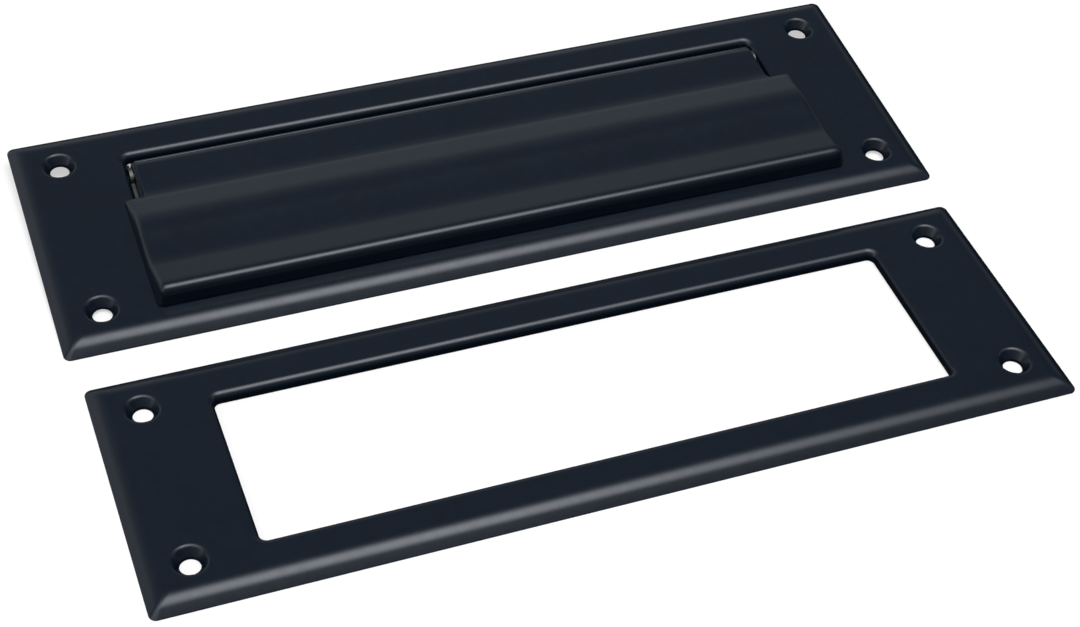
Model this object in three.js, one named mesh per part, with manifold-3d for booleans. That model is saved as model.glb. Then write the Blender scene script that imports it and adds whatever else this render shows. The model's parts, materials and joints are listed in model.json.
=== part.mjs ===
// A letter plate for a door: an outer plate with a sprung flap, and the inner frame that goes on the
// other face of the door. Both lie face up. The outer plate rests on its front edge and on the screw
// heads of its hinge brackets, so it leans forward a little.
//
// Millimetres, +Z up, +X along the plates, +Y away from the flap's lip and towards its hinge.
// The origin is under the middle of the two plates, on the surface that they lie on.

import * as THREE from 'three';
import { mergeVertices } from 'three/addons/utils/BufferGeometryUtils.js';
import Module from 'manifold-3d';

const wasm = await Module();
wasm.setup();

// ---- driving dimensions ----

const CLEARANCE = 0.3; // between pieces that touch or turn in each other

const OUTER = { length: 258.8, width: 82.9 };
const INNER = { length: 254, width: 77.9 };
const PLATE_SPACING = 12; // from the inner frame's back edge to the outer plate's front edge

const FACE = 3.3; // height of a plate's face above its rim
const FACE_WALL = 1.8; // thickness of the face over the hollow back
const EDGE = { width: 6, foot: 0.3, slope: THREE.MathUtils.degToRad(40), steps: 6 };
const OUTLINE_CORNER = 2;
const RIM_WALL = 2.4;

const OPENING = { endMargin: 31, sideMargin: 14.4, corner: 2, lip: 0.9, flange: 1.8 };
const SCREW_HOLE = { fromEnd: 12.9, fromSide: 13.1, bore: 2.7, sink: 4.6, throat: 1.3, boss: 6 };

const HINGE = { fromFront: 62.75, height: 0.5 }; // axis of the hinge rod in the outer plate's frame
const ROD_RADIUS = 1.25;

const FLAP = {
  width: 205.4, // of the cover
  neck: 193.2, // width of the part that lies in the opening
  shift: 0.5, // end play, taken up towards +X
  neckEdge: 50.5, // where the cover widens, from the plate's front edge
  wall: 1.2,
  endWall: 1.6,
  recess: 0.15, // of an end wall behind the cover's end and above its foot
  foot: FACE + 0.4, // height of the cover's lower edge
  barrel: 3.9, // outer radius of the curl round the rod
};
const KNUCKLE = { fromNeckEnd: 15.4, width: 6, radius: 3.5, middleSpread: 61, middleBore: 1.6 };
const BUSH_RADIUS = 2.5;

const BRACKET = { sheet: 1, earRadius: 2.6, earBase: 5, reach: 12.6, front: 52.5, back: 71 };
const BRACKET_BOSS = { radius: 3.4, depth: 0.4, fromOpening: 7.4, y: [56, 68], hole: 1.5, top: 1.9 };
const BRACKET_SCREW = { head: 2.75, headHeight: 1.3, crown: 0.5, shank: 1.2, tip: 1.5 };

const SPRING = { wire: 0.35, coil: 1.9, turns: 12, start: 0.6, length: 12.6, steps: 12, sides: 6 };
const SPRING_HOLE = 0.65;
const SPRING_END_ANGLE = THREE.MathUtils.degToRad(225); // where both ends leave the coil

// ---- materials ----

const material = (color, roughness, metalness) =>
  new THREE.MeshStandardMaterial({ color, roughness, metalness });
const BLACK = [0x1b2027, 0.42, 0.2];
const STEEL = [0xa7abb0, 0.35, 1];
const NYLON = [0xe8e4d8, 0.6, 0];

// ---- solids ----

function solid(geometry) {
  const bare = geometry.clone();
  bare.deleteAttribute('normal');
  bare.deleteAttribute('uv');
  const merged = mergeVertices(bare, 1e-4);
  return new wasm.Manifold(new wasm.Mesh({
    numProp: 3,
    vertProperties: new Float32Array(merged.attributes.position.array),
    triVerts: new Uint32Array(merged.index.array),
  }));
}

function geometryOf(body) {
  const mesh = body.getMesh();
  const geometry = new THREE.BufferGeometry();
  geometry.setAttribute('position', new THREE.BufferAttribute(new Float32Array(mesh.vertProperties), 3));
  geometry.setIndex(new THREE.BufferAttribute(new Uint32Array(mesh.triVerts), 1));
  geometry.computeVertexNormals();
  return geometry;
}

const join = (first, ...others) => others.reduce((body, other) => body.add(other), first);
const cut = (first, ...others) => others.reduce((body, other) => body.subtract(other), first);

function box(x0, x1, y0, y1, z0, z1) {
  const geometry = new THREE.BoxGeometry(x1 - x0, y1 - y0, z1 - z0);
  geometry.translate((x0 + x1) / 2, (y0 + y1) / 2, (z0 + z1) / 2);
  return geometry;
}

// A shape in X and Y, pulled up from z0 to z1.
function upright(shape, z0, z1, curveSegments = 6) {
  const geometry = new THREE.ExtrudeGeometry(shape, { depth: z1 - z0, bevelEnabled: false, curveSegments });
  geometry.translate(0, 0, z0);
  return geometry;
}

// A side view, drawn as (y, z), pulled along X from x0 to x1.
function alongX(shape, x0, x1, curveSegments = 6) {
  const geometry = new THREE.ExtrudeGeometry(shape, { depth: x1 - x0, bevelEnabled: false, curveSegments });
  const turn = new THREE.Matrix4().makeBasis(
    new THREE.Vector3(0, 1, 0),
    new THREE.Vector3(0, 0, 1),
    new THREE.Vector3(1, 0, 0),
  );
  geometry.applyMatrix4(turn);
  geometry.translate(x0, 0, 0);
  return geometry;
}

// An end view, drawn as (x, z), pulled along Y from y0 to y1.
function alongY(shape, y0, y1, curveSegments = 6) {
  const geometry = new THREE.ExtrudeGeometry(shape, { depth: y1 - y0, bevelEnabled: false, curveSegments });
  geometry.rotateX(Math.PI / 2);
  geometry.translate(0, y1, 0);
  return geometry;
}

// A round piece about a vertical axis, from its (radius, height) profile.
function turned(profile, x, y, segments = 24) {
  const geometry = new THREE.LatheGeometry(profile.map(([r, z]) => new THREE.Vector2(r, z)), segments);
  geometry.rotateX(Math.PI / 2);
  geometry.translate(x, y, 0);
  return geometry;
}

// A round piece about the hinge axis, from its (radius, x) profile.
function turnedOnHinge(profile, segments = 20) {
  const geometry = new THREE.LatheGeometry(profile.map(([r, x]) => new THREE.Vector2(r, x)), segments);
  geometry.rotateZ(-Math.PI / 2);
  geometry.translate(0, HINGE.fromFront, HINGE.height);
  return geometry;
}

// A plain round bar about the hinge axis.
const barOnHinge = (radius, x0, x1, segments) =>
  turnedOnHinge([[0, x0], [radius, x0], [radius, x1], [0, x1]], segments);

function roundedRectangle(length, y0, y1, radius) {
  const half = length / 2;
  const shape = new THREE.Shape();
  shape.moveTo(-half + radius, y0);
  shape.absarc(half - radius, y0 + radius, radius, -Math.PI / 2, 0);
  shape.absarc(half - radius, y1 - radius, radius, 0, Math.PI / 2);
  shape.absarc(-half + radius, y1 - radius, radius, Math.PI / 2, Math.PI);
  shape.absarc(-half + radius, y0 + radius, radius, Math.PI, 1.5 * Math.PI);
  return shape;
}

// ---- the two plates ----

// Cross-section of a plate: an upright foot, a sloping facet and a round shoulder up to the face.
function plateSection(start, end) {
  const { width, foot, slope, steps } = EDGE;
  const rise = FACE - foot;
  const radius = (width * Math.tan(slope) - rise) / (Math.sin(slope) * Math.tan(slope) - 1 + Math.cos(slope));
  const shape = new THREE.Shape();
  shape.moveTo(start, 0);
  shape.lineTo(end, 0);
  shape.lineTo(end, foot);
  for (let i = 0; i <= steps; i++) {
    const lean = slope * (1 - i / steps);
    shape.lineTo(end - width + radius * Math.sin(lean), FACE - radius * (1 - Math.cos(lean)));
  }
  for (let i = 0; i <= steps; i++) {
    const lean = slope * i / steps;
    shape.lineTo(start + width - radius * Math.sin(lean), FACE - radius * (1 - Math.cos(lean)));
  }
  shape.lineTo(start, foot);
  return shape;
}

const screwPlaces = ({ length, width }) => [-1, 1].flatMap((end) => [0, 1].map((side) => ({
  x: end * (length / 2 - SCREW_HOLE.fromEnd),
  y: side ? width - SCREW_HOLE.fromSide : SCREW_HOLE.fromSide,
})));

// The face shell of a plate without its opening: bevelled all round, mitred and rounded at the corners.
function plateBlank({ length, width }) {
  const longWay = solid(alongX(plateSection(0, width), -length / 2, length / 2));
  const shortWay = solid(alongY(plateSection(-length / 2, length / 2), 0, width));
  const outline = solid(upright(roundedRectangle(length, 0, width, OUTLINE_CORNER), -1, FACE + 1));
  return longWay.intersect(shortWay).intersect(outline);
}

// The hollow behind the face, left solid round the opening and the screw holes.
function plateHollow({ length, width }) {
  const { endMargin, sideMargin, corner, flange } = OPENING;
  const room = roundedRectangle(length - 2 * RIM_WALL, RIM_WALL, width - RIM_WALL, 1);
  const collar = roundedRectangle(
    length - 2 * (endMargin - flange),
    sideMargin - flange,
    width - sideMargin + flange,
    corner + flange,
  );
  const bosses = screwPlaces({ length, width }).map(({ x, y }) =>
    solid(turned([[0, -2], [SCREW_HOLE.boss, -2], [SCREW_HOLE.boss, FACE], [0, FACE]], x, y)));
  return cut(solid(upright(room, -1, FACE - FACE_WALL)), solid(upright(collar, -2, FACE)), ...bosses);
}

// The letter opening, flared at the face to ease its lip.
function openingCutter({ length, width }) {
  const { endMargin, sideMargin, corner, lip } = OPENING;
  const shape = roundedRectangle(length - 2 * endMargin, sideMargin, width - sideMargin, corner);
  const flare = new THREE.ExtrudeGeometry(shape, {
    depth: 1,
    bevelThickness: lip,
    bevelSize: lip,
    bevelSegments: 1,
    curveSegments: 6,
  });
  flare.translate(0, 0, FACE);
  return join(solid(upright(shape, -2, FACE + 1)), solid(flare));
}

function screwCutter({ x, y }) {
  const { bore, sink, throat } = SCREW_HOLE;
  const slope = (sink - bore) / (FACE - throat);
  return solid(turned([[0, -3], [bore, -3], [bore, throat], [sink + slope, FACE + 1], [0, FACE + 1]], x, y));
}

function plate(size) {
  const cutters = screwPlaces(size).map(screwCutter);
  return cut(plateBlank(size), plateHollow(size), openingCutter(size), ...cutters);
}

// ---- the hinge behind the outer plate ----

const openingEnd = OUTER.length / 2 - OPENING.endMargin;
const bossX = openingEnd + BRACKET_BOSS.fromOpening;
const bracketTop = -BRACKET_BOSS.depth - CLEARANCE;
const headTop = bracketTop - BRACKET.sheet - CLEARANCE;
const headBottom = headTop - BRACKET_SCREW.headHeight;

// The plate leans on the flat ends of the two screw heads nearest to its front edge.
const restY = Math.min(...BRACKET_BOSS.y) - BRACKET_SCREW.head + BRACKET_SCREW.crown;
const LEAN = Math.atan2(-headBottom, restY);

const bracketPlaces = [-1, 1].flatMap((end) => BRACKET_BOSS.y.map((y) => ({ x: end * bossX, y })));

function outerPlate() {
  const { radius, depth, hole, top } = BRACKET_BOSS;
  const bosses = bracketPlaces.map(({ x, y }) =>
    solid(turned([[0, -depth], [radius, -depth], [radius, top], [0, top]], x, y)));
  const holes = bracketPlaces.map(({ x, y }) =>
    solid(turned([[0, -2], [hole, -2], [hole, top], [0, top]], x, y, 16)));
  return cut(join(plate(OUTER), ...bosses), ...holes);
}

// Where a spring's end passes through an ear or into a knuckle.
function springEndCutter(distance, x0, x1) {
  const geometry = new THREE.CylinderGeometry(SPRING_HOLE, SPRING_HOLE, x1 - x0, 12);
  geometry.rotateZ(Math.PI / 2);
  geometry.translate(
    (x0 + x1) / 2,
    HINGE.fromFront + distance * Math.cos(SPRING_END_ANGLE),
    HINGE.height + distance * Math.sin(SPRING_END_ANGLE),
  );
  return solid(geometry);
}

// A folded bracket: a foot behind the plate, and an ear that stands up in the end of the opening.
function bracket(end) {
  const { sheet, earRadius, earBase, reach, front, back } = BRACKET;
  const earOutside = end * (openingEnd - CLEARANCE);
  const earInside = earOutside - end * sheet;
  const [x0, x1] = [earOutside, earInside].sort((a, b) => a - b);
  const footEnd = end * (openingEnd + reach);
  const [foot0, foot1] = [footEnd, earInside].sort((a, b) => a - b);
  const bottom = bracketTop - sheet;
  const ear = new THREE.Shape();
  ear.moveTo(HINGE.fromFront - earBase, bottom);
  ear.lineTo(HINGE.fromFront + earBase, bottom);
  ear.lineTo(HINGE.fromFront + earBase, bracketTop);
  ear.absarc(HINGE.fromFront, HINGE.height, earRadius, 0, Math.PI);
  ear.lineTo(HINGE.fromFront - earBase, bracketTop);
  const { hole } = BRACKET_BOSS;
  const holes = bracketPlaces.map(({ x, y }) =>
    solid(turned([[0, bottom - 1], [hole, bottom - 1], [hole, 0], [0, 0]], x, y, 16)));
  return cut(
    join(solid(alongX(ear, x0, x1)), solid(box(foot0, foot1, front, back, bottom, bracketTop))),
    solid(barOnHinge(ROD_RADIUS + CLEARANCE, x0 - 1, x1 + 1)),
    springEndCutter(SPRING.coil, x0 - 1, x1 + 1),
    ...holes,
  );
}

function bracketScrew({ x, y }) {
  const { head, crown, shank, tip } = BRACKET_SCREW;
  return turned([
    [0, headBottom],
    [head - crown, headBottom],
    [head, headBottom + crown],
    [head, headTop],
    [shank, headTop],
    [shank, tip - shank / 2],
    [shank / 2, tip],
    [0, tip],
  ], x, y, 20);
}

function hingeRod() {
  const end = openingEnd - CLEARANCE;
  const chamfer = 0.3;
  const thin = ROD_RADIUS - chamfer;
  return turnedOnHinge([
    [0, -end],
    [thin, -end],
    [ROD_RADIUS, -end + chamfer],
    [ROD_RADIUS, end - chamfer],
    [thin, end],
    [0, end],
  ]);
}

// A torsion spring on the rod. Its fixed end goes through the ear; the other stops at the knuckle.
function torsionSpring(end) {
  const { wire, coil, turns, start, length, steps, sides } = SPRING;
  const earInside = openingEnd - CLEARANCE - BRACKET.sheet;
  const at = (x, turn) => {
    const angle = SPRING_END_ANGLE + end * turn * 2 * Math.PI;
    return new THREE.Vector3(
      end * x,
      HINGE.fromFront + coil * Math.cos(angle),
      HINGE.height + coil * Math.sin(angle),
    );
  };
  const points = [at(openingEnd - CLEARANCE, 0), at(earInside - start / 2, 0)];
  for (let i = 1; i <= turns * steps; i++) {
    const along = i / (turns * steps);
    points.push(at(earInside - start - length * along, turns * along));
  }
  const section = new THREE.Shape(Array.from({ length: sides }, (_, i) => new THREE.Vector2(
    wire * Math.cos(i * 2 * Math.PI / sides),
    wire * Math.sin(i * 2 * Math.PI / sides),
  )));
  return new THREE.ExtrudeGeometry(section, {
    steps: points.length - 1,
    extrudePath: new THREE.CatmullRomCurve3(points),
    curveSegments: 1,
  });
}

// ---- the flap ----

const flapStart = FLAP.shift - FLAP.width / 2;
const flapEnd = FLAP.shift + FLAP.width / 2;
const neckStart = FLAP.shift - FLAP.neck / 2;
const neckEnd = FLAP.shift + FLAP.neck / 2;

// The flap's outer surface in side view, from the foot of its front wall, over the lip, the level
// middle and the slope, to the neck and the curl round the rod.
function flapOutline() {
  const path = new THREE.Path();
  const neckTop = HINGE.height + FLAP.barrel;
  path.moveTo(9.2, FLAP.foot);
  path.lineTo(10.1, 7.2);
  path.quadraticCurveTo(10.6, 9.4, 13.2, 9.1);
  path.lineTo(20.5, 7.4);
  path.quadraticCurveTo(21.8, 7.1, 24, 7.15);
  path.lineTo(34.5, 7.4);
  path.quadraticCurveTo(38, 7.45, 41, 6.8);
  path.lineTo(49.5, 4.85);
  path.quadraticCurveTo(51.8, neckTop, 54.5, neckTop);
  path.lineTo(HINGE.fromFront, neckTop);
  path.absarc(HINGE.fromFront, HINGE.height, FLAP.barrel, Math.PI / 2, -Math.PI / 9, true);
  return path.getPoints(4);
}

// Points moved sideways by a distance, to the right of the way they run.
function besidePath(points, distance) {
  return points.map((point, i) => {
    const before = points[Math.max(i - 1, 0)];
    const after = points[Math.min(i + 1, points.length - 1)];
    const way = after.clone().sub(before).normalize();
    return new THREE.Vector2(point.x + distance * way.y, point.y - distance * way.x);
  });
}

function distinct(points) {
  return points.filter((point, i) => i === 0 || point.distanceTo(points[i - 1]) > 0.05);
}

// The shell in side view, and the whole side view that an end wall fills.
function flapSections() {
  const outside = distinct(flapOutline());
  const inside = besidePath(outside, FLAP.wall);
  inside[0].set(outside[0].x + FLAP.wall, FLAP.foot);
  const shell = new THREE.Shape([...outside, ...inside.reverse()]);
  const foot = FLAP.foot + FLAP.recess;
  const middle = besidePath(outside, FLAP.wall / 2);
  const cover = middle.filter(({ x, y }) => x < FLAP.neckEdge - 1 && y > FLAP.foot);
  cover[0].y = foot;
  const filled = new THREE.Shape([...cover, new THREE.Vector2(cover[cover.length - 1].x, foot)]);
  return { shell, filled };
}

// Where the knuckles stand along X: one beyond each spring, and two between.
const knuckleStarts = [
  neckStart + KNUCKLE.fromNeckEnd,
  FLAP.shift - KNUCKLE.middleSpread / 2 - KNUCKLE.width / 2,
  FLAP.shift + KNUCKLE.middleSpread / 2 - KNUCKLE.width / 2,
  neckEnd - KNUCKLE.fromNeckEnd - KNUCKLE.width,
];
const springKnuckles = [knuckleStarts[0], knuckleStarts[3]];

function flap() {
  const { shell, filled } = flapSections();
  const deep = -10;
  const high = 20;
  const beside = [[flapStart - 1, neckStart], [neckEnd, flapEnd + 1]];
  const notches = beside.map(([x0, x1]) => solid(box(x0, x1, FLAP.neckEdge, OUTER.width, deep, high)));
  const overPlate = beside.map(([x0, x1]) => solid(box(x0, x1, 0, OUTER.width, deep, FLAP.foot)));
  const cover = cut(solid(alongX(shell, flapStart, flapEnd)), ...notches, ...overPlate);
  const endWalls = [
    solid(alongX(filled, flapStart + FLAP.recess, flapStart + FLAP.endWall)),
    solid(alongX(filled, flapEnd - FLAP.endWall, flapEnd - FLAP.recess)),
  ];
  const knuckles = knuckleStarts.map((x) => solid(barOnHinge(KNUCKLE.radius, x, x + KNUCKLE.width, 28)));
  const bushBores = springKnuckles.map((x) =>
    solid(barOnHinge(BUSH_RADIUS + CLEARANCE, x - 1, x + KNUCKLE.width + 1)));
  const rodBore = solid(barOnHinge(KNUCKLE.middleBore, neckStart, neckEnd));
  const [left, right] = springKnuckles;
  const springNotches = [
    springEndCutter(KNUCKLE.radius, left - 1, left + 2),
    springEndCutter(KNUCKLE.radius, right + KNUCKLE.width - 2, right + KNUCKLE.width + 1),
  ];
  return cut(join(cover, ...endWalls, ...knuckles), rodBore, ...bushBores, ...springNotches);
}

function bush(x) {
  const inside = ROD_RADIUS + CLEARANCE;
  const end = x + KNUCKLE.width;
  return turnedOnHinge([[inside, x], [BUSH_RADIUS, x], [BUSH_RADIUS, end], [inside, end], [inside, x]]);
}

// ---- the assembly ----

function piece(name, shape, look) {
  const geometry = shape.isBufferGeometry ? shape : geometryOf(shape);
  const mesh = new THREE.Mesh(geometry, material(...look));
  mesh.name = name;
  return mesh;
}

const depth = INNER.width + PLATE_SPACING + OUTER.width * Math.cos(LEAN);

const inner = new THREE.Group();
inner.position.y = -depth / 2;
inner.add(piece('inner_frame', plate(INNER), BLACK));

const outer = new THREE.Group();
outer.position.y = -depth / 2 + INNER.width + PLATE_SPACING;
outer.rotation.x = LEAN;
outer.add(piece('outer_plate', outerPlate(), BLACK));
outer.add(piece('flap', flap(), BLACK));
outer.add(piece('hinge_rod', hingeRod(), STEEL));
for (const [side, end] of [['left', -1], ['right', 1]]) {
  outer.add(piece(`hinge_bracket_${side}`, bracket(end), STEEL));
  outer.add(piece(`torsion_spring_${side}`, torsionSpring(end), STEEL));
}
springKnuckles.forEach((x, i) => outer.add(piece(`flap_bush_${['left', 'right'][i]}`, bush(x), NYLON)));
bracketPlaces.forEach((place, i) => outer.add(piece(`bracket_screw_${i + 1}`, bracketScrew(place), STEEL)));

const letterPlate = new THREE.Group();
letterPlate.add(inner, outer);
export default letterPlate;
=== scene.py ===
"""A black letter plate for a door, with its inner frame: the looks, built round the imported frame.

Shapes are worked out in millimetres, in the plates' own frames: x along a plate, y from its front
edge and z up from the plane of its rim. Each piece is then put in the row frame, in metres.
"""
import json
import math

import bmesh
import bpy
from mathutils import Matrix, Vector
from mathutils.geometry import delaunay_2d_cdt


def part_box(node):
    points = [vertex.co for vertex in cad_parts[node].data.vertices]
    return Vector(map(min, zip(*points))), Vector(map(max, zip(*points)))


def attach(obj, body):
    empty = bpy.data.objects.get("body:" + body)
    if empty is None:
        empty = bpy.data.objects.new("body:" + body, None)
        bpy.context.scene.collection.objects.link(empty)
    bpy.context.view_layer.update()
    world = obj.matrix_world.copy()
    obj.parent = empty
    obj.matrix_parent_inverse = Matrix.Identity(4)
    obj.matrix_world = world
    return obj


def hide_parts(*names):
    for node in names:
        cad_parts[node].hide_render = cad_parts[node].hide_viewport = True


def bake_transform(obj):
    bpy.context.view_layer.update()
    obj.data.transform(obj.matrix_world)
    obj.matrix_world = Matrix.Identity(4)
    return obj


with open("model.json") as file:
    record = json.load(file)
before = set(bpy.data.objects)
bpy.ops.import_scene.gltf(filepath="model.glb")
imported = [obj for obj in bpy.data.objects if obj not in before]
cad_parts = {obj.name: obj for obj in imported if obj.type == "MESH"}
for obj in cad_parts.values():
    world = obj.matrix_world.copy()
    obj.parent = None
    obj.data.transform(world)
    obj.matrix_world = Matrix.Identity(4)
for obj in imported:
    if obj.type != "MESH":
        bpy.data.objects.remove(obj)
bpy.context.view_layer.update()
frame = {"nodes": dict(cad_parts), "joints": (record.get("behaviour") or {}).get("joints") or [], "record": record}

MM = 0.001

# ---- sizes of the pieces, in millimetres ----

FACE = 3.3  # height of a plate's face above its rim
CEILING = 1.5  # height of the hollow behind the face
RIM_WALL = 2.4
EDGE = {"foot": 0.3, "slope": math.radians(40), "shoulder": 2.425, "guard": 0.6}
OUTLINE_CORNER = 2.0
MITRE_CORNER = 1.3
OPENING = {"end_margin": 31, "side_margin": 14.4, "corner": 2.0, "lip": 2.2, "flange": 1.8}
SCREW_HOLE = {"from_end": 12.9, "from_side": 13.1, "bore": 2.7, "sink": 4.6, "throat": 0.8, "boss": 6}

HINGE = (62.75, 0.5)  # y and z of the rod in the outer plate's frame
ROD = {"radius": 1.25, "half_length": 98.1, "chamfer": 0.3}
FLAP = {"half_width": 103.1, "shift": 1.1, "half_neck": 96.5, "neck_shift": 0.4, "neck_edge": 49.8,
        "wall": 1.2, "end_wall": 1.6, "foot": 3.7, "barrel": 3.9, "draft": 0.26,
        "end_round": 2.1, "edge_depth": 1.6, "edge_share": 0.65, "neck_round": 0.5,
        "crest": 13, "fillet": 1.6, "fillet_reach": 3,
        "bead": {"radius": 0.5, "centre": 3.8, "at": 45}}
# The webs that close the ends of the neck, with holes for the rod and the springs.
WEB = {"ends": (-96.9, 96.6), "thickness": 1.0, "front": 49.9, "bottom": -2.85, "back": 66.5, "top": 3.7,
       "hole": 2.45, "corner": 1.5}
KNUCKLE = {"radius": 3.45, "width": 6, "bush_bore": 2.53, "rod_bore": 1.35, "round": 0.25,
           "starts": (-80.7, -33.0, 28.0, 75.7)}
BUSH = {"inner": 1.3, "outer": 2.5, "round": 0.2}
BRACKET = {"ear_x": 97.6, "foot_end": 111.0, "sheet": 1.0, "top": -0.7, "front": 52.5, "back": 71.0,
           "ear_base": (9.5, 5.4), "ear_radius": 2.75, "shoulder": 0.1, "bend": 1.1, "relief": 0.8,
           "corner": 1.6, "screw_hole": 1.35, "clearance": 0.08}
BRACKET_BOSS = {"radius": 3.4, "bottom": -0.68, "hole": 1.3, "top": 1.9, "x": 105.8, "y": (56, 68)}
SCREW = {"head": 2.75, "under_head": -1.72, "bottom": -3.3, "crown": 0.5, "shank": 1.2, "tip": 1.5,
         "pitch": 0.7, "thread": 0.22, "recess": 1.5, "recess_width": 0.32, "recess_depth": 0.85}
SPRING = {"wire": 0.35, "coil": 1.9, "turns": 12, "start": 0.6, "length": 12.6, "angle": math.radians(225),
          "into_knuckle": 1.5}


# ---- the frame ----

def leaning_frame():
    """From the outer plate's own frame, in millimetres, to the row frame, in metres."""
    hinge = next(j for j in frame["joints"] if j["name"] == "flap_hinge")
    back = next(m for m in frame["record"]["mounts"] if m["name"] == "outer_plate_back")
    lean = math.atan2(back["axis"][1], -back["axis"][2])
    turn = Matrix.Rotation(lean, 4, "X")
    origin = Vector(hinge["pos_m"]) - turn @ Vector((0, *HINGE)) * MM
    return Matrix.Translation(origin) @ turn @ Matrix.Scale(MM, 4)


def lying_frame():
    """From the inner frame's own frame, in millimetres, to the row frame, in metres."""
    low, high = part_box("inner_frame")
    return Matrix.Translation((0, low.y, low.z)) @ Matrix.Scale(MM, 4)


def plate_size(node, place):
    """Length and width of a plate in its own frame."""
    inverse = place.inverted()
    points = [inverse @ v.co for v in frame["nodes"][node].data.vertices]
    return 2 * max(p.x for p in points), max(p.y for p in points)


OUTER_PLACE = leaning_frame()
INNER_PLACE = lying_frame()
OUTER_SIZE = plate_size("outer_plate", OUTER_PLACE)
INNER_SIZE = plate_size("inner_frame", INNER_PLACE)


# ---- making meshes ----

class Skin:
    """Points and faces of a piece, in millimetres."""

    def __init__(self):
        self.points = []
        self.faces = []

    def add(self, points):
        """Adds points and gives their numbers."""
        first = len(self.points)
        self.points.extend(tuple(p) for p in points)
        return list(range(first, len(self.points)))

    def strip(self, one, other, closed=True):
        """Quads between two rows of point numbers."""
        count = len(one)
        for i in range(count if closed else count - 1):
            j = (i + 1) % count
            self.faces.append((one[i], one[j], other[j], other[i]))

    def rows(self, rows, closed=True):
        for one, other in zip(rows, rows[1:]):
            self.strip(one, other, closed)

    def face(self, loop):
        self.faces.append(tuple(loop))


def as_piece(name, skin, place, looks, body, replaced=(), sharp=35):
    """An object from a skin: welded, faces out, smooth but for its sharp edges, riding on its body."""
    mesh = bpy.data.meshes.new(name)
    mesh.from_pydata(skin.points, [], skin.faces)
    bm = bmesh.new()
    bm.from_mesh(mesh)
    bmesh.ops.remove_doubles(bm, verts=bm.verts, dist=1e-3)
    bmesh.ops.dissolve_degenerate(bm, edges=bm.edges, dist=1e-4)
    bmesh.ops.recalc_face_normals(bm, faces=bm.faces)
    bm.to_mesh(mesh)
    bm.free()
    mesh.transform(place)
    mesh.shade_smooth()
    mesh.set_sharp_from_angle(angle=math.radians(sharp))
    mesh.materials.append(looks)
    piece = bpy.data.objects.new(name, mesh)
    bpy.context.scene.collection.objects.link(piece)
    if body:
        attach(piece, body)
    if replaced:
        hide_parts(*replaced)
    return piece


def soften(piece, width, segments=2, angle=50):
    """Rounds a piece's sharp edges, in millimetres."""
    bevel = piece.modifiers.new("soft_edges", "BEVEL")
    bevel.width = width * MM
    bevel.segments = segments
    bevel.limit_method = "ANGLE"
    bevel.angle_limit = math.radians(angle)
    bevel.harden_normals = True
    return piece


def rounded(corners, degrees=7):
    """A line through corners given as (a, b, cut), each rounded by an arc that starts a cut before it."""
    line = []
    for i, (a, b, cut) in enumerate(corners):
        corner = Vector((a, b))
        if not cut:
            line.append(corner)
            continue
        before = (Vector(corners[i - 1][:2]) - corner).normalized()
        after = (Vector(corners[i + 1][:2]) - corner).normalized()
        half = before.angle(after) / 2
        centre = corner + (before + after).normalized() * cut / math.cos(half)
        start, end = corner + before * cut - centre, corner + after * cut - centre
        turn = start.angle_signed(end)
        steps = max(2, round(abs(math.degrees(turn)) / degrees))
        for k in range(steps + 1):
            line.append(centre + Matrix.Rotation(-turn * k / steps, 2) @ start)
    return line


def rectangle_ring(x0, x1, y0, y1, radius, z, corner_steps=10, x_steps=32, y_steps=12):
    """Points round a rectangle with rounded corners."""
    centres = [(x1 - radius, y0 + radius), (x1 - radius, y1 - radius),
               (x0 + radius, y1 - radius), (x0 + radius, y0 + radius)]
    arcs = []
    for k, (cx, cy) in enumerate(centres):
        angles = [math.pi / 2 * (k - 1 + i / corner_steps) for i in range(corner_steps + 1)]
        arcs.append([Vector((cx + radius * math.cos(a), cy + radius * math.sin(a), z)) for a in angles])
    ring = []
    for k, arc in enumerate(arcs):
        steps = x_steps if k % 2 else y_steps
        ring += arc
        ring += [arc[-1].lerp(arcs[(k + 1) % 4][0], i / steps) for i in range(1, steps)]
    return ring


def circle_ring(x, y, radius, z, steps=48):
    return [Vector((x + radius * math.cos(a), y + radius * math.sin(a), z))
            for a in (2 * math.pi * i / steps for i in range(steps))]


def inside(x, y, ring):
    """Whether a point lies inside a ring of points."""
    within = False
    for (x0, y0), (x1, y1) in zip(ring, ring[1:] + ring[:1]):
        if (y0 > y) != (y1 > y) and x < x0 + (y - y0) * (x1 - x0) / (y1 - y0):
            within = not within
    return within


def triangulate(outline, holes, lines=(), spares=()):
    """Triangles of a flat region with holes: its points, then its faces, then each point's source."""
    rings = [outline, *holes]
    points = [Vector(p[:2]) for ring in rings for p in ring]
    edges = []
    first = 0
    for ring in rings:
        edges += [(first + i, first + (i + 1) % len(ring)) for i in range(len(ring))]
        first += len(ring)
    for a, b in lines:
        edges.append((len(points), len(points) + 1))
        points += [Vector(a), Vector(b)]
    points += [Vector(p) for p in spares]
    made, _, faces, sources, _, _ = delaunay_2d_cdt(points, edges, [], 0, 1e-5)
    flat = [[tuple(p[:2]) for p in ring] for ring in rings]
    kept = []
    for f in faces:
        x, y = (sum(made[i][k] for i in f) / len(f) for k in (0, 1))
        if inside(x, y, flat[0]) and not any(inside(x, y, hole) for hole in flat[1:]):
            kept.append(f)
    return made, kept, sources


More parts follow.
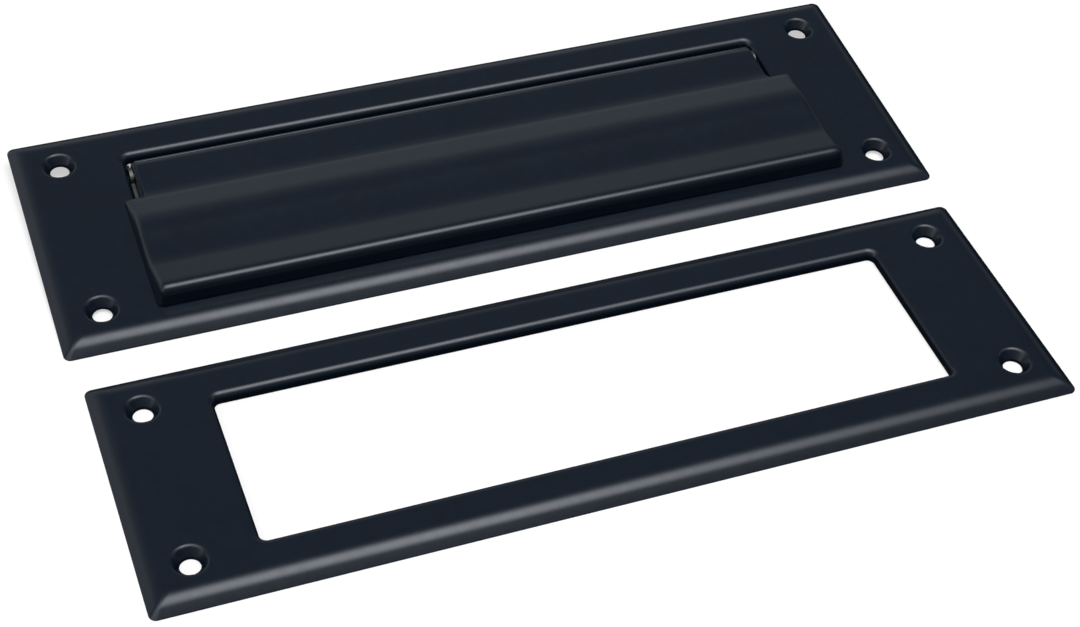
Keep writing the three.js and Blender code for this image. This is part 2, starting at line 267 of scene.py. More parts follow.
def fill_flat(skin, outline, holes, z, spacing=6.0):
    """Closes a level region between rings of point numbers. Spare points keep its triangles even."""
    rings = [[skin.points[i] for i in ring] for ring in (outline, *holes)]
    numbers = [i for ring in (outline, *holes) for i in ring]
    xs = [p[0] for p in rings[0]]
    ys = [p[1] for p in rings[0]]
    spares = []
    for i in range(1, int((max(xs) - min(xs)) / spacing)):
        for j in range(1, int((max(ys) - min(ys)) / spacing)):
            spare = (min(xs) + i * spacing, min(ys) + j * spacing)
            if all(math.dist(spare, p[:2]) > spacing / 2 for ring in rings for p in ring):
                spares.append(spare)
    made, faces, sources = triangulate(rings[0], rings[1:], spares=spares)
    known = {}
    for i, point in enumerate(made):
        ring_source = [s for s in sources[i] if s < len(numbers)]
        if ring_source:
            known[i] = numbers[ring_source[0]]
    for face in faces:
        for i in face:
            if i not in known:
                known[i] = skin.add([(*made[i], z)])[0]
        skin.face(known[i] for i in face)


def turned_skin(section, closed=True, steps=40):
    """A skin turned about the hinge axis from a section of (x, radius)."""
    skin = Skin()
    angles = [2 * math.pi * k / steps for k in range(steps)]
    rings = [skin.add((x, HINGE[0] + r * math.cos(a), HINGE[1] + r * math.sin(a)) for a in angles)
             for x, r in section]
    skin.rows(rings + rings[:1] if closed else rings)
    if not closed:
        skin.face(rings[0])
        skin.face(rings[-1])
    return skin


# ---- the two plates ----

def edge_section():
    """From the hollow's ceiling, round the rim and up the bevelled edge to the face: (inset, z)."""
    facet_end = (FACE - EDGE["foot"]) / math.tan(EDGE["slope"])
    face_start = facet_end + EDGE["shoulder"]
    return rounded([
        (RIM_WALL + 1.2, CEILING, 0),
        (RIM_WALL, CEILING, 0.5),
        (RIM_WALL, 0, 0.2),
        (0, 0, 0.1),
        (0, EDGE["foot"], 0.12),
        (facet_end, FACE, EDGE["shoulder"]),
        (face_start + EDGE["guard"], FACE, 0),
    ], degrees=3)


def opening_section():
    """From the face, over the lip and down the opening to the hollow's ceiling: (outset, z)."""
    lip, flange = OPENING["lip"], OPENING["flange"]
    return rounded([
        (lip + 0.5, FACE, 0),
        (0, FACE, lip),
        (0, 0, 0.15),
        (flange, 0, 0.2),
        (flange, CEILING, 0.4),
        (flange + 0.9, CEILING, 0),
    ])


def screw_hole_section():
    """From the face, down the countersink and the bore and up the boss to the ceiling: (radius, z)."""
    bore, sink, boss = SCREW_HOLE["bore"], SCREW_HOLE["sink"], SCREW_HOLE["boss"]
    return rounded([
        (sink + 1.3, FACE, 0),
        (sink, FACE, 0.7),
        (bore, SCREW_HOLE["throat"], 0.3),
        (bore, 0, 0.15),
        (boss, 0, 0.2),
        (boss, CEILING, 0.3),
        (boss + 0.7, CEILING, 0),
    ])


def bracket_boss_section():
    """From the ceiling, down the boss and into its blind hole: (radius, z)."""
    radius, bottom = BRACKET_BOSS["radius"], BRACKET_BOSS["bottom"]
    return rounded([
        (radius + 0.5, CEILING, 0),
        (radius, CEILING, 0.3),
        (radius, bottom, 0.2),
        (BRACKET_BOSS["hole"], bottom, 0.1),
        (BRACKET_BOSS["hole"], BRACKET_BOSS["top"], 0),
    ], degrees=15)


def mitre_radius(inset):
    """Radius of the corners of a ring that lies inside a plate's outline."""
    return max(OUTLINE_CORNER - 0.5 * inset, MITRE_CORNER)


def screw_places(length, width):
    x, y = length / 2 - SCREW_HOLE["from_end"], SCREW_HOLE["from_side"]
    return [(end * x, side) for end in (-1, 1) for side in (y, width - y)]


def bracket_boss_places():
    return [(end * BRACKET_BOSS["x"], y) for end in (-1, 1) for y in BRACKET_BOSS["y"]]


def plate_skin(length, width, bosses=()):
    """A hollow-backed plate with bevelled edges, a letter opening and countersunk screw holes."""
    skin = Skin()
    half = length / 2
    edge = [skin.add(rectangle_ring(-half + d, half - d, d, width - d, mitre_radius(d), z))
            for d, z in edge_section()]
    x, y = half - OPENING["end_margin"], OPENING["side_margin"]
    opening = [skin.add(rectangle_ring(-x - e, x + e, y - e, width - y + e, OPENING["corner"] + e, z))
               for e, z in opening_section()]
    holes = [[skin.add(circle_ring(*place, r, z)) for r, z in screw_hole_section()]
             for place in screw_places(length, width)]
    blind = [[skin.add(circle_ring(*place, r, z, 32)) for r, z in bracket_boss_section()]
             for place in bosses]
    for rows in (edge, opening, *holes, *blind):
        skin.rows(rows)
    for rows in blind:
        skin.face(rows[-1])
    fill_flat(skin, edge[-1], [opening[0], *(rows[0] for rows in holes)], FACE)
    ceiling = [opening[-1], *(rows[-1] for rows in holes), *(rows[0] for rows in blind)]
    fill_flat(skin, edge[0], ceiling, CEILING)
    return skin


# ---- the flap ----

def bezier(start, control, end, steps):
    points = []
    for k in range(steps + 1):
        t = k / steps
        near, middle, far = (1 - t) ** 2, 2 * t * (1 - t), t * t
        points.append(Vector(start) * near + Vector(control) * middle + Vector(end) * far)
    return points


def straight(start, end, steps):
    return [Vector(start).lerp(Vector(end), k / steps) for k in range(steps + 1)]


def on_curl(radius, degrees):
    """A point at a distance from the rod's middle, in the plane across it."""
    angle = math.radians(degrees)
    return Vector(HINGE) + radius * Vector((math.cos(angle), math.sin(angle)))


def curl():
    """Over the rod and down behind it. The sheet's rolled edge stands up as a fine bead on the back."""
    bead = FLAP["bead"]
    centre = on_curl(bead["centre"], bead["at"])
    reach = 2 * math.degrees(math.asin(bead["radius"] / 2 / FLAP["barrel"]))
    line = [on_curl(FLAP["barrel"], a) for a in (90, 85, 80, 75, 70, 66, 62, 58, 55)]
    line.append(on_curl(FLAP["barrel"] - 0.08, bead["at"] + reach))
    for degrees in range(138, -49, -12):
        a = math.radians(bead["at"] - 45 + degrees)
        line.append(centre + bead["radius"] * Vector((math.cos(a), math.sin(a))))
    return line + [on_curl(FLAP["barrel"], a) for a in (36, 32, 28, 22, 15, 8, 0, -8, -15, -20)]


def flap_side():
    """The flap's outer surface seen from its end, from the foot of the front wall to the curl's end."""
    y, z = HINGE
    top = z + FLAP["barrel"]
    stretches = [
        straight((9.2, FLAP["foot"]), (9.55, 6.2), 6),
        bezier((9.55, 6.2), (10.1, 9.55), (13.0, 9.07), 18),
        straight((13.0, 9.07), (20.6, 7.4), 6),
        bezier((20.6, 7.4), (22.4, 6.98), (25.5, 6.98), 8),
        bezier((25.5, 6.98), (29.5, 6.98), (33.0, 7.3), 6),
        bezier((33.0, 7.3), (38.0, 7.75), (42.0, 6.75), 14),
        straight((42.0, 6.75), (49.0, 4.95), 6),
        bezier((49.0, 4.95), (FLAP["neck_edge"], 4.6), (52.5, top), 8),
        straight((52.5, top), (y, top), 5),
        curl(),
    ]
    line = []
    for points in stretches:
        line += [p for p in points if not line or (p - line[-1]).length > 0.02]
    return line


def normals_of(line):
    """Unit normals to the left of the way a line runs."""
    normals = []
    for i in range(len(line)):
        way = (line[min(i + 1, len(line) - 1)] - line[max(i - 1, 0)]).normalized()
        normals.append(Vector((-way.y, way.x)))
    return normals


def at_neck_edge(line):
    """The line with a point just where the cover ends, and that point's number."""
    edge = FLAP["neck_edge"]
    k = next(i for i, p in enumerate(line) if p.x > edge and i > 0)
    before, after = line[k - 1], line[k]
    share = (edge - before.x) / (after.x - before.x)
    near = [p for p in line if abs(p.x - edge) > 0.25 or p.y < 0]
    k = next(i for i, p in enumerate(near) if p.x > edge)
    return near[:k] + [before.lerp(after, share)] + near[k:], k


def round_over(into, width, depth):
    """How deep an elliptical edge lies at a distance from its start."""
    share = min(max(into / width, 0), 1)
    return depth * (1 - math.sqrt(1 - share * share))


def flap_skin():
    """One shell: the cover with its front and end walls, the neck and the curl round the rod."""
    line, last = at_neck_edge(flap_side())
    normals = normals_of(line)
    normals[0], normals[last] = Vector((-1, 0)), Vector((0, 1))
    cover, neck, foot = FLAP["half_width"], FLAP["half_neck"], FLAP["foot"]
    skin = Skin()

    def placed(x, y, z):
        spread = max(0, (abs(x) - neck) / (cover - neck))
        beyond = y - FLAP["neck_edge"]
        flare = round_over(FLAP["fillet"] - beyond, FLAP["fillet"], FLAP["fillet"]) if beyond > 0 else 0
        flare *= max(0, 1 - (neck - abs(x)) / FLAP["fillet_reach"])
        shift = FLAP["neck_shift"] + (FLAP["shift"] - FLAP["neck_shift"]) * spread
        outward = flare - FLAP["draft"] * max(0, z - foot) * spread
        return shift + x + math.copysign(1, x) * outward, y, z

    end = [cover - FLAP["end_round"] * (1 - math.sin(math.radians(a))) for a in range(0, 91, 15)]
    wing = [neck + (end[0] - neck) * k / 3 for k in range(1, 3)]
    edge = [neck - FLAP["neck_round"] * (1 - math.sin(math.radians(a))) for a in range(0, 91, 22)] + [neck]
    half_neck = [edge[0] * k / 14 for k in range(1, 14)] + edge
    neck_columns = [-x for x in reversed(half_neck)] + [0] + half_neck
    wing_columns = wing + end
    columns = [-x for x in reversed(wing_columns)] + neck_columns + wing_columns

    def outer_point(x, i):
        point, normal = line[i], normals[i]
        if i <= last:
            behind_crest = point.x > FLAP["crest"]
            room = (point.y - foot) * FLAP["edge_share"] if behind_crest else FLAP["end_round"]
            depth = min(FLAP["edge_depth"] + 0.3 * max(0, -normal.x), room)
            sunk = round_over(abs(x) - end[0], FLAP["end_round"], depth)
        else:
            ramp = min(1, (i - last) / 3)
            sunk = round_over(abs(x) - edge[0], FLAP["neck_round"], FLAP["neck_round"] * 0.8 * ramp)
        where = point - normal * sunk
        return placed(x, where.x, where.y)

    def inner_line(i):
        spoke = line[i] - Vector(HINGE)
        if spoke.x > 0:
            return Vector(HINGE) + spoke.normalized() * (FLAP["barrel"] - FLAP["wall"])
        point = line[i] - normals[i] * FLAP["wall"]
        return Vector((point.x, foot)) if i == 0 else point

    outer, inner, ledge = {}, {}, {}
    inner_wing = [neck + (cover - FLAP["end_wall"] - neck) * k / 2 for k in (1, 2)]
    for i in range(len(line)):
        for x in columns if i <= last else neck_columns:
            outer[x, i] = skin.add([outer_point(x, i)])[0]
        for x in neck_columns:
            inner[x, i] = skin.add([placed(x, *inner_line(i))])[0]
    low = next(i for i in range(1, last + 1) if line[i].x > 20 and inner_line(i)[1] < foot)
    for side in (-1, 1):
        for i in range(last + 1):
            y, z = inner_line(i)
            for x in inner_wing:
                ledge[side * x, i] = skin.add([placed(side * x, y, max(z, foot) if i < low else foot)])[0]
            x = side * neck
            ledge[x, i] = inner[x, i] if i < low else skin.add([placed(x, y, foot)])[0]

    for i in range(len(line) - 1):
        here = columns if i < last else neck_columns
        for a, b in zip(here, here[1:]):
            skin.face((outer[a, i], outer[b, i], outer[b, i + 1], outer[a, i + 1]))
        for a, b in zip(neck_columns, neck_columns[1:]):
            skin.face((inner[a, i], inner[b, i], inner[b, i + 1], inner[a, i + 1]))
    skin.strip([outer[x, len(line) - 1] for x in neck_columns],
               [inner[x, len(line) - 1] for x in neck_columns], closed=False)

    rim = [[outer[x, 0] for x in columns], [inner[x, 0] for x in neck_columns]]
    back_corners = {}
    for side in (-1, 1):
        wing_line = [side * x for x in (neck, *inner_wing)]
        for i in range(last):
            for a, b in zip(wing_line, wing_line[1:]):
                skin.face((ledge[a, i], ledge[b, i], ledge[b, i + 1], ledge[a, i + 1]))
        skin.face([ledge[wing_line[-1], i] for i in range(low + 1)])
        corner = skin.add([placed(side * cover, FLAP["neck_edge"], foot)])[0]
        back_corners[side] = corner
        skin.face([outer[side * cover, i] for i in range(last + 1)] + [corner])
        x = side * neck
        for i in range(low - 1, last):
            skin.face(dict.fromkeys((ledge[x, i], ledge[x, i + 1], inner[x, i + 1], inner[x, i])))
        skin.face([outer[x, last], outer[x, last + 1], inner[x, last + 1], inner[x, last], ledge[x, last]])
        for i in range(last + 1, len(line) - 1):
            skin.face((outer[x, i], outer[x, i + 1], inner[x, i + 1], inner[x, i]))
        skirt = [side * c for c in (neck, *wing_columns)]
        under = [ledge[c, last] for c in reversed(wing_line)]
        skin.face([outer[c, last] for c in skirt] + [corner] + under)
    outside = [back_corners[-1]] + rim[0] + [back_corners[1]]
    wall_x = inner_wing[-1]
    right = [ledge[wall_x, i] for i in range(last, low - 1, -1)]
    right += [ledge[x, 0] for x in reversed(inner_wing)]
    left = [ledge[-x, 0] for x in inner_wing]
    left += [ledge[-wall_x, i] for i in range(low, last + 1)]
    skin.face(outside + right + list(reversed(rim[1])) + left)
    return skin


def knuckle_skin(start, bore):
    end, radius, r = start + KNUCKLE["width"], KNUCKLE["radius"], KNUCKLE["round"]
    section = [(start, bore), (start, radius - r), (start + r, radius),
               (end - r, radius), (end, radius - r), (end, bore)]
    return turned_skin(section)


def add_sheet(skin, made, faces, layers):
    """A sheet of even thickness from its flat triangles: each layer places a point of the flat pattern."""
    used = sorted({i for f in faces for i in f})
    numbers = [dict(zip(used, skin.add(layer(made[i]) for i in used))) for layer in layers]
    sides = {}
    for f in faces:
        skin.face(numbers[0][i] for i in f)
        skin.face(numbers[1][i] for i in reversed(f))
        for a, b in zip(f, f[1:] + f[:1]):
            sides[frozenset((a, b))] = None if frozenset((a, b)) in sides else (a, b)
    for a, b in filter(None, sides.values()):
        skin.face((numbers[0][a], numbers[0][b], numbers[1][b], numbers[1][a]))


def add_web(skin, end):
    """One web, from its outer face at an end of the neck inwards, with its back corner cut to the curl."""
    front, bottom, back, top, corner = (WEB[k] for k in ("front", "bottom", "back", "top", "corner"))
    corners = [(front, top, 0), (front, bottom, corner), (back, bottom, corner * 2),
               (back, 1.2, 0), (back - 1, top - 0.6, 0), (back - 3, top, 0)]
    outline = [tuple(p) for p in rounded(corners, 15)]
    hole = [tuple(p[:2]) for p in circle_ring(*HINGE, WEB["hole"], 0, 40)]
    made, faces, _ = triangulate(outline, [hole])

    def layer(x):
        return lambda point: (x, *point)

    inward = math.copysign(WEB["thickness"], -end)
    add_sheet(skin, made, faces, [layer(end), layer(end + inward)])


def flap_knuckles():
    """The four knuckles in the curl, the outer two with bushes, and the webs under the neck's ends."""
    skin = Skin()
    for end in WEB["ends"]:
        add_web(skin, end)
    for k, start in enumerate(KNUCKLE["starts"]):
        bore = KNUCKLE["bush_bore"] if k in (0, 3) else KNUCKLE["rod_bore"]
        part = knuckle_skin(start, bore)
        first = len(skin.points)
        skin.points += part.points
        skin.faces += [tuple(i + first for i in face) for face in part.faces]
    return skin


def bush_skin(start):
    end, r = start + KNUCKLE["width"], BUSH["round"]
    start, end = start - 0.15, end + 0.15
    inner, outer = BUSH["inner"], BUSH["outer"]
    return turned_skin([(start, inner + r), (start, outer - r), (start + r, outer), (end - r, outer),
                        (end, outer - r), (end, inner + r), (end - r, inner), (start + r, inner)])


def rod_skin():
    end, radius, chamfer = ROD["half_length"], ROD["radius"], ROD["chamfer"]
    section = [(-end, radius - chamfer), (-end + chamfer, radius)]
    section += [(-end + chamfer + (end - chamfer) * 2 * k / 12, radius) for k in range(1, 12)]
    section += [(end - chamfer, radius), (end, radius - chamfer)]
    return turned_skin(section, closed=False)


# ---- brackets, screws and springs ----

def bracket_outline():
    """The flat sheet before folding: u along it from the foot's end to the ear's tip, and y."""
    foot = BRACKET["foot_end"] - BRACKET["ear_x"] - BRACKET["bend"]
    fold = BRACKET["bend"] * math.pi / 2
    level = BRACKET["top"] - BRACKET["sheet"] / 2 + BRACKET["bend"]  # height where the ear is upright
    eye = foot + fold + HINGE[1] - level
    (before, behind), radius = BRACKET["ear_base"], BRACKET["ear_radius"]
    front, back, corner = BRACKET["front"], BRACKET["back"], BRACKET["corner"]
    middle = HINGE[0]
    shoulder = foot + fold + BRACKET["shoulder"]
    tip = [(eye + radius * math.cos(a), middle + radius * math.sin(a))
           for a in (math.radians(-90 + 10 * k) for k in range(19))]
    outline = [tuple(p) for p in rounded([
        (foot - BRACKET["relief"], front, 0), (0, front, corner), (0, back, corner),
        (foot - BRACKET["relief"], back, 0)], degrees=12)]
    outline += [(foot - BRACKET["relief"], middle + behind)]
    outline += [(foot + (shoulder - foot) * k / 6, middle + behind) for k in range(7)]
    outline += list(reversed(tip))
    outline += [(foot + (shoulder - foot) * k / 6, middle - before) for k in range(6, -1, -1)]
    outline += [(foot - BRACKET["relief"], middle - before)]
    return outline, foot, fold, eye


def bracket_skin(side):
    outline, foot, fold, eye = bracket_outline()
    middle = HINGE[0]
    bend, half = BRACKET["bend"], BRACKET["sheet"] / 2
    clearance = BRACKET["clearance"]

    def hole(u, y, radius, steps):
        return [tuple(p[:2]) for p in circle_ring(u, y, radius, 0, steps)]

    screw_u = BRACKET["foot_end"] - BRACKET_BOSS["x"]
    end_u = eye + SPRING["coil"] * math.sin(SPRING["angle"])
    end_y = middle + SPRING["coil"] * math.cos(SPRING["angle"])
    holes = [hole(screw_u, y, BRACKET["screw_hole"], 28) for y in BRACKET_BOSS["y"]]
    holes.append(hole(eye, middle, ROD["radius"] + clearance, 32))
    holes.append(hole(end_u, end_y, SPRING["wire"] + clearance, 16))
    before, behind = (base + 0.5 for base in BRACKET["ear_base"])
    across = [foot + fold * k / 8 for k in range(9)]
    lines = [((u, middle - before), (u, middle + behind)) for u in across]
    made, faces, _ = triangulate(outline, holes, lines)

    def folded(u):
        """Place of the sheet's middle and its normal, towards the plate or out of the opening."""
        x, z = BRACKET["foot_end"], BRACKET["top"] - half
        if u <= foot:
            return (x - u, z), (0, 1)
        turn = min((u - foot) / bend, math.pi / 2)
        rest = u - foot - turn * bend
        out = (-math.sin(turn), -math.cos(turn))
        x, z = BRACKET["ear_x"] + bend, z + bend
        return (x + bend * out[0], z + bend * out[1] + rest), (-out[0], -out[1])

    def layer(offset):
        def place(point):
            (x, z), (nx, nz) = folded(point[0])
            return side * (x + nx * offset), point[1], z + nz * offset
        return place

    skin = Skin()
    add_sheet(skin, made, faces, [layer(half), layer(-half)])
    return skin


def screw_skin(x, y):
    """A pan-head screw, head down, with a cross recess and a threaded shank."""
    head, crown = SCREW["head"], SCREW["crown"]
    steps = 48
    skin = Skin()
    arm, depth, width = (SCREW[k] for k in ("recess", "recess_depth", "recess_width"))
    bottom = SCREW["bottom"]

    def recess_radius(angle, scale):
        """Radius of the cross's outline: four arms with hollow corners between them."""
        turn = (angle + math.pi / 4) % (math.pi / 2) - math.pi / 4
        reach = min(width / max(abs(math.sin(turn)), 1e-6), arm / max(math.cos(turn), 1e-6))
        return scale * max(reach, width * 1.6)

    def cross(scale, z):
        points = []
        for k in range(steps):
            angle = 2 * math.pi * k / steps
            radius = recess_radius(angle, scale)
            points.append((x + radius * math.cos(angle), y + radius * math.sin(angle), z))
        return skin.add(points)

    rows = [cross(0.35, bottom + depth), cross(0.8, bottom + depth * 0.45), cross(1, bottom + 0.03)]
    rows.append(cross(1.05, bottom))
    section = rounded([
        (head - crown * 1.2, bottom, 0),
        (head - crown * 0.2, bottom + crown * 0.3, crown * 0.6),
        (head, SCREW["under_head"], 0.2),
        (SCREW["shank"], SCREW["under_head"], 0),
    ], degrees=15)
    rows += [skin.add(circle_ring(x, y, r, z, steps)) for r, z in section]
    skin.rows(rows)
    skin.face(rows[0])
    top = SCREW["tip"]
    turns = (top - SCREW["under_head"]) / SCREW["pitch"]
    levels = int(turns * 8)
    thread = [rows[-1]]
    for k in range(1, levels + 1):
        z = SCREW["under_head"] + (top - SCREW["under_head"]) * k / levels
        taper = min(1, 0.35 + 0.8 * (top - z) / 1.0)
        points = []
        for j in range(steps):
            a = 2 * math.pi * j / steps
            wave = (z / SCREW["pitch"] - j / steps) % 1
            r = (SCREW["shank"] - SCREW["thread"] * abs(2 * wave - 1)) * taper
            points.append((x + r * math.cos(a), y + r * math.sin(a), z))
        thread.append(skin.add(points))
    skin.rows(thread)
    skin.face(thread[-1])
    return skin


def spring_path(side):
    """The wire's middle: through the ear, round the rod and into the knuckle."""
    coil, turns, start, length = (SPRING[k] for k in ("coil", "turns", "start", "length"))
    ear = BRACKET["ear_x"]
    ear_inside = ear - BRACKET["sheet"] / 2
    knuckle = -KNUCKLE["starts"][0] if side < 0 else KNUCKLE["starts"][3] + KNUCKLE["width"]

    def at(x, turn):
        angle = SPRING["angle"] + side * turn * 2 * math.pi
        return Vector((side * x, HINGE[0] + coil * math.cos(angle), HINGE[1] + coil * math.sin(angle)))

    points = [at(x, 0) for x in (ear + BRACKET["sheet"] / 2, ear, ear_inside, ear_inside - start * 0.5)]
    steps = turns * 28
    for k in range(1, steps + 1):
        points.append(at(ear_inside - start - length * k / steps, turns * k / steps))
    end = ear_inside - start - length
    tail = (end - 0.5, (end + knuckle) / 2, knuckle, knuckle - SPRING["into_knuckle"])
    return points + [at(x, turns) for x in tail]


def tube_skin(points, radius, sides=12):
    """A round wire along a path, with its section carried along without twist."""
    skin = Skin()
    across = Vector((0, 0, 1))
    rings = []
    for i, point in enumerate(points):
        way = (points[min(i + 1, len(points) - 1)] - points[max(i - 1, 0)]).normalized()
        across = (across - way * across.dot(way)).normalized()
        other = way.cross(across)
        rings.append(skin.add(point + radius * (math.cos(a) * across + math.sin(a) * other)
                              for a in (2 * math.pi * k / sides for k in range(sides))))
    skin.rows(rings)
    skin.face(rings[0])
    skin.face(rings[-1])
    return skin


# ---- materials ----

def noise(tree, scale, detail, stretch=None):
    """A noise texture in the object's own coordinates."""
    nodes, links = tree.nodes, tree.links
    texture = nodes.new("ShaderNodeTexNoise")
    texture.inputs["Scale"].default_value = scale
    texture.inputs["Detail"].default_value = detail
    place = nodes.new("ShaderNodeTexCoord")
    if stretch:
        mapping = nodes.new("ShaderNodeMapping")
        mapping.inputs["Scale"].default_value = stretch
        links.new(place.outputs["Object"], mapping.inputs["Vector"])
        links.new(mapping.outputs["Vector"], texture.inputs["Vector"])
    else:
        links.new(place.outputs["Object"], texture.inputs["Vector"])
    return texture.outputs["Fac"]


def spread(tree, value, low, high):
    """Maps a noise value, from 0.3 to 0.7, onto a range."""
    node = tree.nodes.new("ShaderNodeMapRange")
    node.inputs["From Min"].default_value = 0.3
    node.inputs["From Max"].default_value = 0.7
    node.inputs["To Min"].default_value = low
    node.inputs["To Max"].default_value = high
    tree.links.new(value, node.inputs["Value"])
    return node.outputs["Result"]


def two_colours(tree, value, one, other):
    node = tree.nodes.new("ShaderNodeValToRGB")
    for element, colour in zip(node.color_ramp.elements, (one, other)):
        element.color = (*colour, 1)
    tree.links.new(spread(tree, value, 0, 1), node.inputs["Fac"])
    return node.outputs["Color"]


def bump(tree, value, strength, depth):
    node = tree.nodes.new("ShaderNodeBump")
    node.inputs["Strength"].default_value = strength
    node.inputs["Distance"].default_value = depth
    tree.links.new(value, node.inputs["Height"])
    return node.outputs["Normal"]


def finish(name, one, other, rough, grain, relief, metallic=0.0, stretch=None):
    """A finish whose colour, roughness and relief each vary: grain is (blotch, cloud, fine) scales."""
    looks = bpy.data.materials.new(name)
    looks.use_nodes = True
    tree = looks.node_tree
    shader = tree.nodes["Principled BSDF"]
    shader.inputs["Metallic"].default_value = metallic
    colour = two_colours(tree, noise(tree, grain[0], 3, stretch), one, other)
    tree.links.new(colour, shader.inputs["Base Color"])
    tree.links.new(spread(tree, noise(tree, grain[1], 2, stretch), *rough), shader.inputs["Roughness"])
    strength, depth = relief
    tree.links.new(bump(tree, noise(tree, grain[2], 2, stretch), strength, depth), shader.inputs["Normal"])
    return looks


BLACK = finish("black_coating", (0.0020, 0.0062, 0.0130), (0.0026, 0.0075, 0.0150), (0.21, 0.26),
               (60, 400, 1800), (0.12, 0.00004))
ZINC = finish("zinc_sheet", (0.10, 0.108, 0.097), (0.15, 0.158, 0.143), (0.42, 0.55),
              (300, 900, 2500), (0.2, 0.00003), metallic=1.0)
DRAWN = finish("drawn_steel", (0.36, 0.36, 0.37), (0.45, 0.45, 0.46), (0.25, 0.36),
               (200, 1200, 3000), (0.15, 0.00002), metallic=1.0, stretch=(0.1, 1, 1))
WIRE = finish("spring_steel", (0.14, 0.14, 0.145), (0.2, 0.2, 0.205), (0.32, 0.42),
              (400, 1500, 3000), (0.15, 0.00002), metallic=1.0)
NYLON = finish("nylon", (0.72, 0.69, 0.60), (0.80, 0.78, 0.70), (0.45, 0.55),
               (300, 700, 2500), (0.1, 0.00003))


# ---- the pieces ----

def build_plates():
    outer = plate_skin(*OUTER_SIZE, bosses=bracket_boss_places())
    as_piece("outer_plate_finished", outer, OUTER_PLACE, BLACK, "outer_assembly",
             ["outer_plate"])
    inner = plate_skin(*INNER_SIZE)
    as_piece("inner_frame_finished", inner, INNER_PLACE, BLACK, "inner_frame",
             ["inner_frame"])


def build_flap():
    piece = as_piece("flap_finished", flap_skin(), OUTER_PLACE, BLACK, "flap", ["flap"])
    soften(piece, 0.15)
    as_piece("flap_back", flap_knuckles(), OUTER_PLACE, BLACK, "flap")
    for name, k in (("left", 0), ("right", 3)):
        as_piece(f"bush_{name}", bush_skin(KNUCKLE["starts"][k]), OUTER_PLACE, NYLON, "flap",
                 [f"flap_bush_{name}"])


def build_hinge():
    as_piece("rod", rod_skin(), OUTER_PLACE, DRAWN, "outer_assembly", ["hinge_rod"])
    for name, side in (("left", -1), ("right", 1)):
        piece = as_piece(f"bracket_{name}", bracket_skin(side), OUTER_PLACE, ZINC, "outer_assembly",
                         [f"hinge_bracket_{name}"])
        soften(piece, 0.1)
        spring = as_piece(f"spring_{name}", tube_skin(spring_path(side), SPRING["wire"]), OUTER_PLACE,
                          WIRE, None, [f"torsion_spring_{name}"], sharp=60)
        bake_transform(spring)
    for k, place in enumerate(bracket_boss_places()):
        as_piece(f"screw_{k + 1}", screw_skin(*place), OUTER_PLACE, ZINC, "outer_assembly",
                 [f"bracket_screw_{k + 1}"])


# ---- floor, light and camera ----

FLOOR = {"radius": 2.0, "bend": 1.0, "height": 2.5, "drop": 0.00005, "glow": 0.52}


def build_floor():
    """A round white floor that curves up into a wall. It is seen, but gives the object no light."""
    profile = [Vector((FLOOR["radius"] * k / 8, 0)) for k in range(9)]
    radius, bend = FLOOR["radius"], FLOOR["bend"]
    for k in range(1, 13):
        a = math.pi / 2 * k / 12
        profile.append(Vector((radius + bend * math.sin(a), bend * (1 - math.cos(a)))))
    profile.append(Vector((radius + bend, FLOOR["height"])))
    steps = 96
    skin = Skin()
    rings = [skin.add((r * math.cos(a), r * math.sin(a), z - FLOOR["drop"])
                      for a in (2 * math.pi * j / steps for j in range(steps)))
             for r, z in profile[1:]]
    skin.face(rings[0])
    skin.rows(rings)
    mesh = bpy.data.meshes.new("floor")
    upward = [tuple(reversed(f)) for f in skin.faces[1:]]
    mesh.from_pydata(skin.points, [], upward + skin.faces[:1])
    mesh.shade_smooth()
    mesh.materials.append(paper())
    floor = bpy.data.objects.new("floor", mesh)
    bpy.context.scene.collection.objects.link(floor)
    floor.visible_diffuse = False
    floor.visible_glossy = False
    floor.visible_shadow = False


def paper():
    looks = finish("white_paper", (0.575, 0.55, 0.51), (0.595, 0.57, 0.53), (0.9, 1.0),
                   (3, 8, 300), (0.02, 0.00005))
    shader = looks.node_tree.nodes["Principled BSDF"]
    shader.inputs["Specular IOR Level"].default_value = 0.0
    shader.inputs["Emission Color"].default_value = (1, 1, 1, 1)
    shader.inputs["Emission Strength"].default_value = FLOOR["glow"]
    return looks


# Levels of light by angle, from the horizon in front (0 degrees), over the top, to that behind (180).
ROOM = ((-30, 0.02), (-4, 0.03), (10, 0.12), (35, 0.25), (57, 0.36), (90, 0.3), (112, 0.27),
        (120, 0.23), (126, 0.165), (134, 0.18), (150, 0.34), (160, 0.42), (170, 0.42), (180, 0.3),
        (186, 0.06), (210, 0.02))
SOFT_BOX = ((46, 0), (54, 0.12), (62, 0.5), (70, 0.93), (79, 1), (88, 0.93), (96, 0.5), (103, 0.12),
            (112, 0))
# Levels of the room, then of the soft box, by how far the light comes from the right.
ROOM_ENDS = ((-1, 1.4), (-0.6, 1.35), (-0.1, 1.0), (0.35, 1.0), (0.65, 0.5), (1, 0.4))
SOFT_BOX_ENDS = ((-1, 0.08), (-0.5, 0.2), (-0.12, 0.5), (0.08, 0.76), (0.21, 1.0), (0.27, 0.95),
                 (0.36, 0.46), (0.46, 0.17), (0.6, 0.07), (1, 0.04))
SOFT_BOX_POWER = 6.2
LIGHT_COLOUR = (0.955, 1, 1.08, 1)


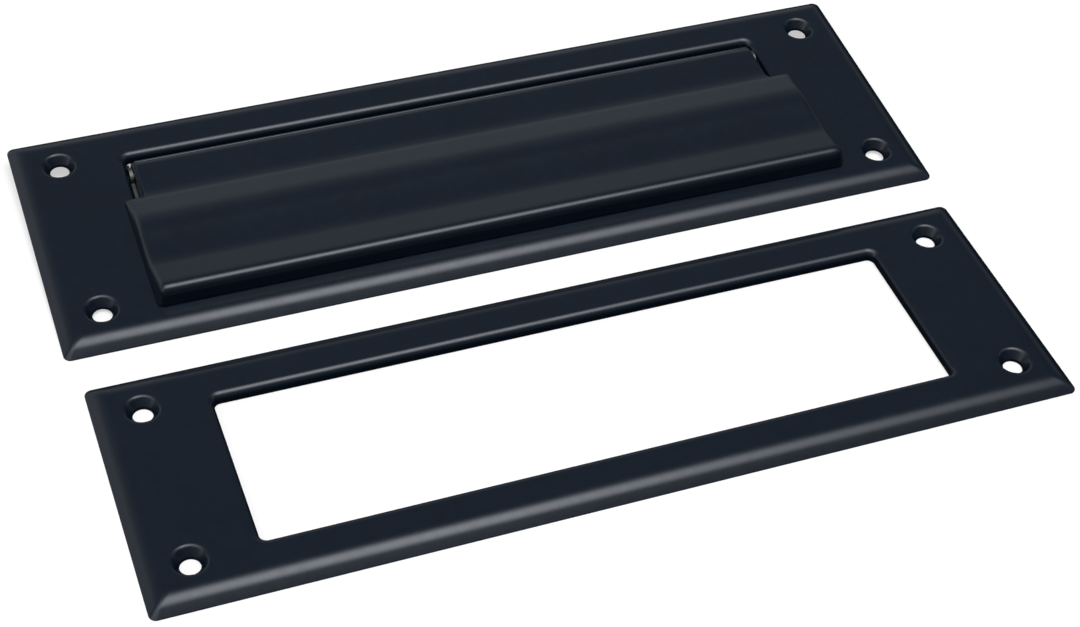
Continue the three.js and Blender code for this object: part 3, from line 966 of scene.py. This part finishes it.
def level_along(tree, value, stops, span):
    """A grey level read off a list of (place, level), for a value that runs over a span."""
    ramp = tree.nodes.new("ShaderNodeValToRGB")
    fit = tree.nodes.new("ShaderNodeMapRange")
    fit.inputs["From Min"].default_value = span[0]
    fit.inputs["From Max"].default_value = span[1]
    tree.links.new(value, fit.inputs["Value"])
    tree.links.new(fit.outputs["Result"], ramp.inputs["Fac"])
    elements = ramp.color_ramp.elements
    while len(elements) < len(stops):
        elements.new(0.5)
    for element, (at, level) in zip(elements, stops):
        element.position = (at - span[0]) / (span[1] - span[0])
        element.color = (level, level, level, 1)
    return ramp.outputs["Color"]


def reckon(tree, operation, one, other):
    """A Math node on two values, each a number or a socket."""
    node = tree.nodes.new("ShaderNodeMath")
    node.operation = operation
    for socket, value in zip(node.inputs, (one, other)):
        if isinstance(value, (int, float)):
            socket.default_value = value
        else:
            tree.links.new(value, socket)
    return node.outputs["Value"]


def build_light():
    """A long soft box overhead, a little behind the plates, in a dim room."""
    world = bpy.data.worlds.new("studio")
    bpy.context.scene.world = world
    world.use_nodes = True
    tree = world.node_tree
    place = tree.nodes.new("ShaderNodeTexCoord")
    split = tree.nodes.new("ShaderNodeSeparateXYZ")
    tree.links.new(place.outputs["Generated"], split.inputs["Vector"])
    ahead = reckon(tree, "MULTIPLY", split.outputs["Y"], -1)
    raised = reckon(tree, "ARCTAN2", split.outputs["Z"], ahead)
    # The half turn below the ground runs on from the horizon behind.
    behind = reckon(tree, "LESS_THAN", raised, -math.pi / 2)
    wrapped = reckon(tree, "ADD", raised, reckon(tree, "MULTIPLY", behind, 2 * math.pi))
    turn = (-math.pi / 2, math.pi * 1.5)
    room = level_along(tree, wrapped, [(math.radians(at), level) for at, level in ROOM], turn)
    box = level_along(tree, wrapped, [(math.radians(at), level) for at, level in SOFT_BOX], turn)
    room = reckon(tree, "MULTIPLY", room, level_along(tree, split.outputs["X"], ROOM_ENDS, (-1, 1)))
    ends = level_along(tree, split.outputs["X"], SOFT_BOX_ENDS, (-1, 1))
    lit = reckon(tree, "MULTIPLY", reckon(tree, "MULTIPLY", box, ends), SOFT_BOX_POWER)
    tree.links.new(reckon(tree, "ADD", room, lit), tree.nodes["Background"].inputs["Strength"])
    tree.nodes["Background"].inputs["Color"].default_value = LIGHT_COLOUR


CAMERA = {"place": (-0.16737, -0.39761, 0.41514), "lens": 71.16, "sensor": 36,
          "heading": math.radians(23.3616), "down": math.radians(44.9408), "roll": math.radians(4.6119)}


def build_camera():
    data = bpy.data.cameras.new("camera")
    data.lens = CAMERA["lens"]
    data.sensor_width = CAMERA["sensor"]
    camera = bpy.data.objects.new("camera", data)
    bpy.context.scene.collection.objects.link(camera)
    heading = Matrix.Rotation(-CAMERA["heading"], 4, "Z")
    tilt = Matrix.Rotation(math.pi / 2 - CAMERA["down"], 4, "X")
    roll = Matrix.Rotation(CAMERA["roll"], 4, "Z")
    camera.matrix_world = Matrix.Translation(CAMERA["place"]) @ heading @ tilt @ roll
    bpy.context.scene.camera = camera


build_plates()
build_flap()
build_hinge()
build_floor()
build_light()
build_camera()
bpy.context.scene.view_settings.view_transform = "Standard"
